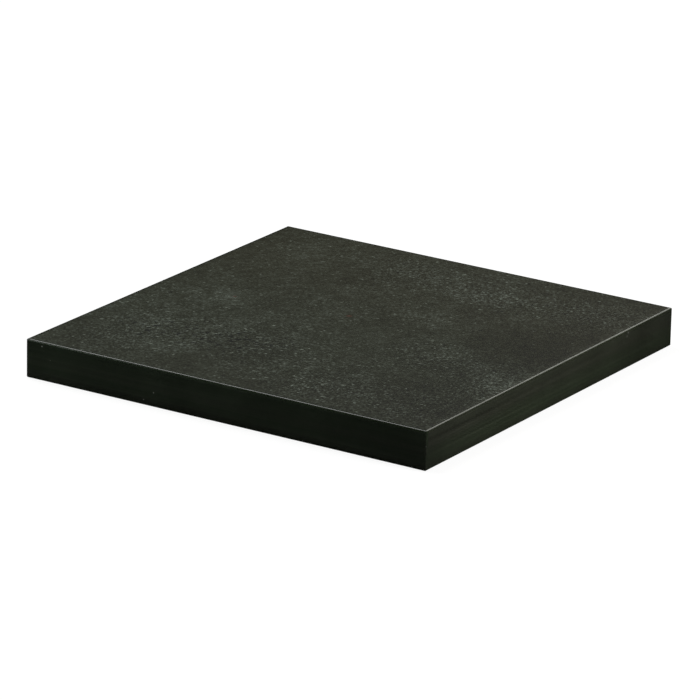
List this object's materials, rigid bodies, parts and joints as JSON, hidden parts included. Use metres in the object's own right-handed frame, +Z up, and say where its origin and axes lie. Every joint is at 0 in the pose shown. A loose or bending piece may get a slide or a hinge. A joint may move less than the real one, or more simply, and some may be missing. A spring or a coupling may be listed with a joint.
{
  "type": "stone-effect work slab",
  "caption": "Flat square slab with a matt stone-effect laminate face, a chipboard core and plain plastic edging, to lay on a bench as a hard smooth work surface.",
  "frame": {"origin": "centre of the underside, on the surface that the slab lies on", "axes": "+Z up out of the working face, front edge faces -Y, right edge faces +X"},
  "size_m": [0.3048, 0.3048, 0.0266],
  "materials": {
    "stone_effect_laminate": "matt printed laminate, near-black grey-green with soft clouds, fine speckle and pale scuffs",
    "edging_plastic": "semi-matt extruded strip, near black, faint lengthwise lines, scraped paler arris",
    "backing_sheet": "plain sanded dark brown balancing laminate",
    "chipboard": "raw chipboard"
  },
  "bodies": {
    "root": {"core_board": "chipboard", "top_laminate": "stone_effect_laminate", "backing_laminate": "backing_sheet", "edging_front": "edging_plastic", "edging_back": "edging_plastic", "edging_left": "edging_plastic", "edging_right": "edging_plastic"}
  },
  "joints": []
}
